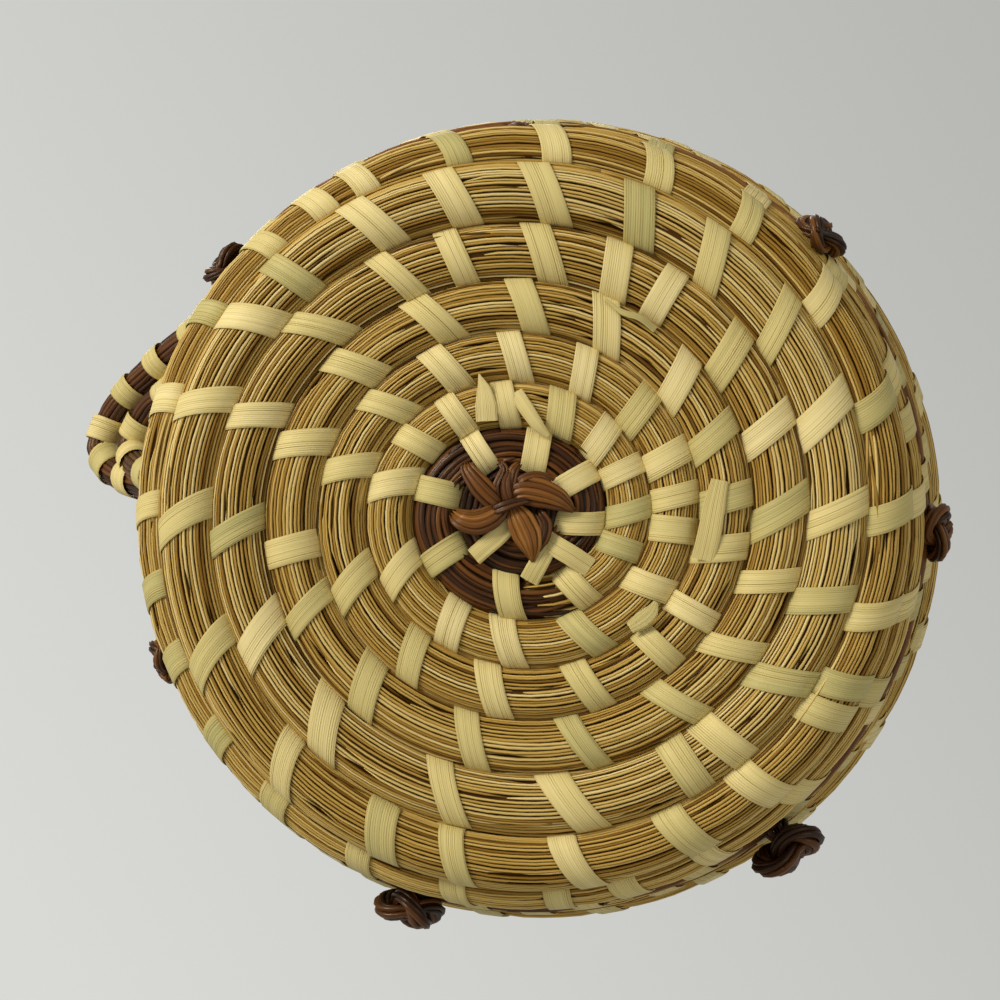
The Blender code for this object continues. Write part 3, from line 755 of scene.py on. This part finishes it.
# Loose stalks on the grass coil: node, piece, first and last turn and number
LOOSE_STALKS = (
    ("base_coil", "base_loose_stalks", 1.9, 6.3, 44), ("wall_coil", "wall_loose_stalks", 6.4, 8.1, 20),
    ("upper_coil", "upper_loose_stalks", 9.5, 11.6, 30), ("rim_coil", "rim_loose_stalks", 11.7, 12.6, 10),
)
loose = [loose_stalk(rng.uniform(0.75, 1.9), rng.choice([0.5, 2.4]) + rng.uniform(-0.3, 0.3),
                     rng.uniform(0.008, 0.016), rng.uniform(-0.8, 0.8), rng.uniform(0.0, 0.0003),
                     rng.uniform(0.2, 0.8), 0.00055)
         for _ in range(16)]
sweep_object("start_loose_needles", loose, 6, needle_material, ["start_coil"])
for node, name, first, last, number in LOOSE_STALKS:
    loose = []
    for _ in range(number):
        section = rng.choice([0.35, 0.55, 2.6, 2.85]) + rng.uniform(-0.12, 0.12)
        loose.append(loose_stalk(rng.uniform(first, last), section, rng.uniform(0.010, 0.030), rng.uniform(-0.5, 0.5),
                                 rng.uniform(0.0, 0.0005), rng.choice([0.1, 0.3, 0.6, 0.8]),
                                 GRASS["half_width"]))
    sweep_object(name, loose, 6, grass_material, [node])

# Cut ends of strips: places in the photo with heights in millimetres, half widths in millimetres, tint and node
STRIP_END_STEPS = 16
STRIP_ENDS = (
    (((487, 421, 3.5), (486, 405, 2.9), (484, 390, 2.9), (479, 374, 3.1)),
     (2.2, 2.2, 1.5, 0.15), 0.75, "start_binding"),
    (((516, 392, 3.4), (526, 408, 2.7), (537, 424, 2.7), (548, 436, 3.5)),
     (1.4, 1.5, 1.3, 0.6), 0.7, "start_binding"),
    (((703, 560, 2.6), (709, 535, 1.8), (714, 508, 1.8), (720, 480, 2.0)),
     (2.3, 2.3, 2.2, 1.7), 0.55, "base_binding"),
    (((630, 628, 3.0), (642, 620, 2.1), (651, 612, 2.0), (656, 602, 2.6)),
     (1.2, 1.7, 1.5, 0.5), 0.35, "base_binding"),
    (((655, 330, 2.8), (640, 318, 1.8), (622, 312, 1.8), (606, 300, 2.6)),
     (0.7, 0.7, 0.6, 0.3), 0.25, "base_binding"),
    (((474, 557, 4.2), (484, 548, 2.9), (497, 537, 2.6), (511, 523, 3.4)),
     (1.9, 1.9, 1.9, 1.8), 0.5, "start_binding"),
    (((529, 581, 4.2), (535, 570, 3.0), (542, 558, 2.7), (549, 546, 3.6)),
     (2.0, 2.0, 1.9, 1.7), 0.5, "start_binding"),
    (((545, 539, 4.0), (557, 547, 2.8), (572, 556, 2.8), (590, 568, 3.8)),
     (2.0, 2.1, 2.1, 2.1), 0.6, "start_binding"),
)
for index, (points, widths, tint, node) in enumerate(STRIP_ENDS):
    path = smooth_path([seen_point(*point) for point in points], STRIP_END_STEPS)
    widths = np.interp(np.linspace(0.0, 1.0, STRIP_END_STEPS), np.linspace(0.0, 1.0, len(widths)), widths) * MM
    strip_object(f"strip_end_{index + 1}", strand(path, -UP, widths, STRIP_THICKNESS / 2.0, tint), node)


# Start knot

def needle_band(points, widths, needles, tints, half_width, count=24):
    """Needles side by side along one smooth path, the band as wide as the widths say in millimetres."""
    path = smooth_path(points, count)
    sides = unit(np.cross(np.gradient(path, axis=0), -UP))
    spread = np.interp(np.linspace(0.0, 1.0, count), np.linspace(0.0, 1.0, len(widths)), widths) * MM
    strands = []
    for index in range(needles):
        offset = (index + 0.5) / needles - 0.5
        centres = path + sides * (spread * offset)[:, None]
        centres[:, 2] += spread * 0.9 * offset**2 + rng.uniform(-0.00010, 0.00010)
        taper = np.clip(np.minimum(np.arange(count), count - 1 - np.arange(count)) / 2.0, 0.4, 1.0)
        size = np.maximum(spread / needles * 0.62, 0.0003) * rng.uniform(0.92, 1.1) * taper
        size = np.minimum(size, half_width)
        strands.append(strand(centres, -UP, size, size * 0.6, rng.uniform(*tints)))
    return strands


# Bands of the knot: places in the photo with heights in millimetres, widths in millimetres, number and tints
START_KNOT_BANDS = (
    (((505, 500, 1.9), (520, 491, 1.0), (540, 493, 0.7), (559, 500, 0.9), (574, 511, 2.2)),
     (3.6, 5.6, 5.8, 4.4, 1.0), 5, (0.42, 0.8)),
    (((512, 506, 1.9), (520, 520, 0.9), (527, 535, 0.7), (531, 548, 1.0), (533, 562, 2.4)),
     (2.6, 5.4, 5.8, 4.0, 0.6), 5, (0.60, 0.95)),
    (((538, 512, 2.2), (545, 524, 1.6), (543, 538, 1.6), (535, 554, 2.4)), (2.0, 2.6, 2.4, 0.8), 3, (0.3, 0.6)),
    (((505, 504, 1.9), (492, 516, 0.9), (476, 522, 0.8), (461, 519, 1.2), (452, 512, 3.2)),
     (2.8, 4.6, 5.0, 4.0, 2.4), 4, (0.5, 0.85)),
    (((503, 507, 1.9), (492, 498, 1.0), (480, 486, 0.9), (468, 470, 1.8), (466, 463, 3.0)),
     (2.8, 4.4, 4.4, 3.0, 1.8), 4, (0.45, 0.8)),
    (((500, 500, 1.5), (498, 486, 1.1), (504, 470, 1.6), (500, 462, 2.4)), (1.6, 2.2, 1.8, 1.0), 3, (0.3, 0.6)),
    (((506, 502, 1.4), (510, 486, 1.0), (514, 470, 1.6), (520, 463, 2.6)), (1.8, 2.4, 2.0, 1.2), 3, (0.3, 0.7)),
    (((513, 498, 1.6), (524, 482, 1.2), (540, 478, 1.6), (552, 484, 2.6)), (2.0, 3.0, 2.6, 1.6), 4, (0.35, 0.65)),
    (((493, 511, 0.9), (503, 507, 0.25), (515, 503, 0.25), (530, 500, 0.8)), (1.6, 1.9, 1.7, 0.8), 2, (0.3, 0.55)),
    (((510, 470, 1.3), (506, 482, 0.5), (507, 494, 0.35), (512, 506, 1.1)), (1.0, 1.7, 1.8, 1.2), 2, (0.35, 0.6)),
)
KNOT_NEEDLE_WIDTH = 0.00100

# The plug behind the knot: its radius and its lowest and highest point, and the needles wound flat on both its faces
EYE_RADIUS = 0.0128
EYE_HEIGHTS = (0.0058, 0.0112)
EYE_PROFILE = (0.55, 0.85, 0.97, 1.0, 1.0, 1.0, 0.97, 0.85, 0.5)
EYE_COIL_TURNS = (0.4, 9.2)
EYE_COIL_PITCH = 0.00135
EYE_COIL_RADIUS = 0.0125


def eye_coil(height, rise, tints):
    """Needles wound flat in the middle of the base, a little domed."""
    turns = np.linspace(*EYE_COIL_TURNS, 230)
    radius = turns * EYE_COIL_PITCH + drift(turns, 1.7, 0.00010)
    angle = START_ANGLE - FULL_TURN * turns
    heights = height + rise * (1.0 - (radius / EYE_COIL_RADIUS) ** 2) + drift(turns, 1.1, 0.00008)
    centres = np.stack([radius * np.cos(angle), radius * np.sin(angle), heights], axis=-1)
    tint = np.interp(turns, np.arange(0.0, 10.0, 0.4), rng.uniform(*tints, 25))
    return strand(centres, UP * math.copysign(1.0, rise), 0.00076, 0.00060, tint)


knot_strands = []
for points, widths, needles, tints in START_KNOT_BANDS:
    knot_strands += needle_band([seen_point(*point) for point in points], widths, needles, tints, KNOT_NEEDLE_WIDTH)
eye = np.linspace((0.0, 0.0, EYE_HEIGHTS[0]), (0.0, 0.0, EYE_HEIGHTS[1]), len(EYE_PROFILE))
eye_width = EYE_RADIUS * np.array(EYE_PROFILE)
# The plug takes tint 0, the darkest colour, as painted shade seen through the gaps of the knot
knot_strands.append(strand(eye, (1.0, 0.0, 0.0), eye_width, eye_width, 0.0))
knot_strands.append(eye_coil(0.0056, -0.0003, (0.05, 0.4)))
knot_strands.append(eye_coil(0.0114, 0.0004, (0.25, 0.75)))
sweep_object("start_knot_needles", knot_strands, 8, needle_material, ["start_knot"])


# Knots on the wall

# Distance of a knot from the coil, the share of its loop that is drawn, the lengths of its cut ends and its needles
KNOT_SEAT = 0.0018
KNOT_LOOP_SHARE = 0.95
KNOT_TIPS = (0.0020, 0.0045)
KNOT_NEEDLES = 6
STEM_NEEDLES = 9
# How far the loop weaves in and out, how far its needles lie from the middle one, and their half width and half
# height, as shares of the half span
KNOT_RISE = 0.34
KNOT_REACH = 0.23
KNOT_STRAND_WIDTH = 0.152
KNOT_STRAND_HEIGHT = 0.115


def knot_strands_at(turn, stand_out, half_span, twist):
    """An open overhand knot of several needles with their cut ends standing out, on a stem out of the coil."""
    centre = coil_points(turn, 0.0, BUNDLE_OUT + KNOT_SEAT + stand_out)
    along = unit(coil_points(turn + 0.001, 0.0, 0.0) - coil_points(turn, 0.0, 0.0))
    across = unit(coil_points(turn, 0.001, 0.0) - coil_points(turn, 0.0, 0.0))
    out = wall_outs(turn)
    angle = math.pi + FULL_TURN * KNOT_LOOP_SHARE * (np.linspace(0.0, 1.0, 46) - 0.5)
    wide = (np.sin(angle) + 2.0 * np.sin(2.0 * angle)) / 3.0
    high = (np.cos(angle) - 2.0 * np.cos(2.0 * angle)) / 3.0
    wide, high = wide * math.cos(twist) - high * math.sin(twist), wide * math.sin(twist) + high * math.cos(twist)
    loop = centre + (wide[:, None] * along + high[:, None] * across) * half_span
    loop = loop - out * (KNOT_RISE * half_span * np.sin(3.0 * angle))[:, None]
    tangents = unit(np.gradient(loop, axis=0))
    first = unit(np.cross(tangents, out))
    second = np.cross(first, tangents)
    strands = []
    for index in range(KNOT_NEEDLES + 1):
        turned = FULL_TURN * index / KNOT_NEEDLES + np.linspace(0.0, 2.5, len(loop)) + rng.uniform(-0.2, 0.2)
        reach = KNOT_REACH * half_span if index < KNOT_NEEDLES else 0.0
        centres = loop + (first * np.cos(turned)[:, None] * 1.2 + second * np.sin(turned)[:, None] * 0.8) * reach
        ends = []
        for tip, inward in ((centres[0], centres[1]), (centres[-1], centres[-2])):
            way = unit(tip - inward) + out * 0.35 + along * rng.uniform(-0.5, 0.5) + across * rng.uniform(-0.5, 0.5)
            length = rng.uniform(*KNOT_TIPS)
            ends.append([tip + unit(way) * length * share for share in (0.35, 0.7, 1.0)])
        centres = np.vstack([ends[0][::-1], centres, ends[1]])
        strands.append(strand(centres, out, KNOT_STRAND_WIDTH * half_span, KNOT_STRAND_HEIGHT * half_span,
                              rng.uniform(0.15, 0.8)))
    for _ in range(STEM_NEEDLES):
        root = coil_points(turn + float(turns_for(rng.uniform(-0.4, 0.6) * half_span, turn)),
                           rng.uniform(-0.30, 0.30) * half_span, BUNDLE_OUT - 0.0008)
        stem = smooth_path([root, root * 0.5 + centre * 0.5, centre + out * 0.0004], 8)
        strands.append(strand(stem, along, 0.00072, 0.00060, rng.uniform(0.0, 0.5)))
    return strands


for number, (degrees, stand_out, half_span, twist) in enumerate(WALL_KNOTS):
    turn = turn_at(math.radians(degrees), BAND_COIL_TURN)
    sweep_object(f"wall_knot_needles_{number + 1}", knot_strands_at(turn, stand_out, half_span, twist), 6,
                 needle_material, [f"wall_knot_{number + 1}"])


# Ear handle

def handle_row(name, places, first_strip):
    """A row of needles with its strips: every second place, from the first strip's on, is the middle of a strip."""
    count = (len(places) - 1) * HANDLE_STEPS + 1
    centres = smooth_path([seen_point(*place) for place in places], count)
    across, out = math.sin(HANDLE_TILT), math.cos(HANDLE_TILT)
    heart = coil_points(turn_at(HANDLE_ANGLE, RIM_COIL_TURN), across * HANDLE_SEAT, out * HANDLE_SEAT)
    tangents = unit(np.gradient(centres, axis=0))
    away = centres - heart
    away = unit(away - tangents * np.sum(away * tangents, axis=1, keepdims=True))
    side = np.cross(away, tangents)
    lengths = np.concatenate([[0.0], np.cumsum(np.linalg.norm(np.diff(centres, axis=0), axis=1))])
    marks = lengths[first_strip * HANDLE_STEPS::2 * HANDLE_STEPS]

    needles = []
    for index in range(HANDLE_NEEDLES):
        section = FULL_TURN * index / HANDLE_NEEDLES + drift(lengths, 0.05, 0.06)
        offset = np.abs(lengths[:, None] - marks[None, :]).min(axis=1)
        drawn = 1.0 - HANDLE_CINCH_SHARE * np.clip(1.0 - (offset - 0.0032) / 0.0015, 0.0, 1.0)
        radius = HANDLE_RADIUS * drawn - HANDLE_NEEDLE_INSET
        around = away * np.cos(section)[:, None] + side * np.sin(section)[:, None]
        width = HANDLE_NEEDLE_WIDTH * rng.uniform(0.88, 1.12)
        needles.append(strand(centres + around * radius[:, None], around, width, width * 0.85, needle_tint() * 0.8))
    # The core takes a near-black tint as painted shade seen between the needles
    needles.append(strand(centres, away, HANDLE_CORE_RADIUS, HANDLE_CORE_RADIUS, 0.02))
    sweep_object(f"handle_{name}_bundle", needles, 6, needle_material, [f"handle_{name}_coil"])

    positions, sections, tints = [], [], []
    for index, mark in enumerate(marks):
        last = index + 1 == len(marks)
        following = mark + HANDLE_LEAN if last else marks[index + 1] - HANDLE_LEAN
        steps = SECTION_STEPS // 2 + 3 if last else SECTION_STEPS
        section = math.pi - FULL_TURN * np.arange(steps) / SECTION_STEPS
        shown = mark + HANDLE_LEAN * np.cos(section)
        hidden = mark + HANDLE_LEAN + (following - mark - HANDLE_LEAN) * (1.0 - np.cos(section)) / 2.0
        positions.append(np.where(section >= -1e-9, shown, hidden))
        sections.append(section)
        tints.append(np.full(steps, rng.uniform(0.2, 0.9)))
    position, section = np.concatenate(positions)[:, None], np.concatenate(sections)[:, None]
    middles, aways, sides = (
        np.stack([np.interp(position[:, 0], lengths, rows[:, axis]) for axis in range(3)], axis=-1)
        for rows in (centres, away, side))
    around = unit(aways * np.cos(section) + sides * np.sin(section))
    strip = strand(middles + around * HANDLE_STRIP_RADIUS, around, HANDLE_STRIP_WIDTH / 2.0, STRIP_THICKNESS / 2.0,
                   np.concatenate(tints))
    strip_object(f"handle_{name}_strip", strip, f"handle_{name}_binding")


handle_row("outer", HANDLE_OUTER_ROW, 1)
handle_row("inner", HANDLE_INNER_ROW, 0)


# Floor, light and camera

def stage_floor():
    """A pale floor that is seen from above only, and lets the lamps below it through."""
    mesh = bmesh.new()
    bmesh.ops.create_grid(mesh, x_segments=1, y_segments=1, size=4.0)
    data = bpy.data.meshes.new("floor")
    mesh.to_mesh(data)
    mesh.free()
    material = bpy.data.materials.new("floor")
    material.use_nodes = True
    tree = material.node_tree
    shader = tree.nodes["Principled BSDF"]
    shader.inputs["Base Color"].default_value = srgb(226, 226, 224)
    shader.inputs["Roughness"].default_value = 0.9
    light_path = tree.nodes.new("ShaderNodeLightPath")
    geometry = tree.nodes.new("ShaderNodeNewGeometry")
    front = math_node(tree, "SUBTRACT", 1.0, geometry.outputs["Backfacing"])
    clear = tree.nodes.new("ShaderNodeBsdfTransparent")
    mix = tree.nodes.new("ShaderNodeMixShader")
    tree.links.new(math_node(tree, "MULTIPLY", front, light_path.outputs["Is Camera Ray"]), mix.inputs[0])
    tree.links.new(clear.outputs[0], mix.inputs[1])
    tree.links.new(shader.outputs[0], mix.inputs[2])
    tree.links.new(mix.outputs[0], tree.nodes["Material Output"].inputs["Surface"])
    data.materials.append(material)
    floor = placed(bpy.data.objects.new("floor", data))


def add_light(name, way, distance, size, power, colour=(1.0, 0.98, 0.95)):
    """A round soft lamp that stands in a direction and faces the basket."""
    data = bpy.data.lights.new(name, "AREA")
    data.shape = "DISK"
    data.size = size
    data.energy = power
    data.color = colour
    light = placed(bpy.data.objects.new(name, data))
    light.location = way.normalized() * distance
    light.rotation_mode = "QUATERNION"
    light.rotation_quaternion = way.to_track_quat("Z", "Y")


def studio_world():
    """Even light on the basket, and a pale backdrop for the camera that darkens as in the photo."""
    world = bpy.data.worlds.new("studio")
    world.use_nodes = True
    bpy.context.scene.world = world
    tree = world.node_tree
    ambient = tree.nodes["Background"]
    ambient.inputs["Color"].default_value = (1.0, 0.99, 0.97, 1.0)
    ambient.inputs["Strength"].default_value = 0.36
    sky = tree.nodes.new("ShaderNodeTexCoord")
    along_image = tree.nodes.new("ShaderNodeVectorMath")
    along_image.operation = "DOT_PRODUCT"
    along_image.inputs[1].default_value = IMAGE_RIGHT * 0.854 + IMAGE_UP * 0.52
    tree.links.new(sky.outputs["Generated"], along_image.inputs[0])
    backdrop = tree.nodes.new("ShaderNodeBackground")
    # The ramp is painted shade on the backdrop: pale at one side, darkening across it and pale again at the far edge
    shade = ramp_node(tree, math_node(tree, "MULTIPLY_ADD", along_image.outputs["Value"], 0.6, 0.5), (
        (0.24, srgb(217, 218, 214)), (0.5, srgb(199, 200, 196)), (0.76, srgb(179, 180, 175)),
        (0.95, srgb(214, 215, 211))))
    tree.links.new(shade, backdrop.inputs["Color"])
    seen = tree.nodes.new("ShaderNodeLightPath")
    mix = tree.nodes.new("ShaderNodeMixShader")
    tree.links.new(seen.outputs["Is Camera Ray"], mix.inputs[0])
    tree.links.new(ambient.outputs[0], mix.inputs[1])
    tree.links.new(backdrop.outputs[0], mix.inputs[2])
    tree.links.new(mix.outputs[0], tree.nodes["World Output"].inputs["Surface"])


def photo_camera():
    data = bpy.data.cameras.new("photo_camera")
    data.sensor_width = 36.0
    data.lens = FOCAL_PIXELS * data.sensor_width / IMAGE_PIXELS
    data.clip_start = 0.01
    data.clip_end = 50.0
    camera = placed(bpy.data.objects.new("photo_camera", data))
    turned = Matrix((VIEW_LEVEL, VIEW_UPRIGHT, -VIEW_SIGHT)).transposed()
    camera.matrix_world = Matrix.Translation(VIEW_SPOT) @ turned.to_4x4()
    return camera


stage_floor()
add_light("photo_key", IMAGE_UP * 0.70 - IMAGE_RIGHT * 0.90 - UP * 0.72, 1.1, 0.45, 8.9, (1.0, 0.97, 0.92))
add_light("photo_side", IMAGE_UP * 0.1 - IMAGE_RIGHT - UP * 0.35, 1.1, 0.8, 1.8, (1.0, 0.97, 0.92))
add_light("photo_fill", -UP * 1.0 + IMAGE_UP * 0.1 + IMAGE_RIGHT * 0.9, 1.4, 1.0, 2.4)
add_light("top_key", -IMAGE_UP * 0.2 + Vector((-0.5, -0.6, 1.2)), 1.2, 0.9, 6.5)

studio_world()
bpy.context.scene.camera = photo_camera()
bpy.context.scene.view_settings.view_transform = "Standard"
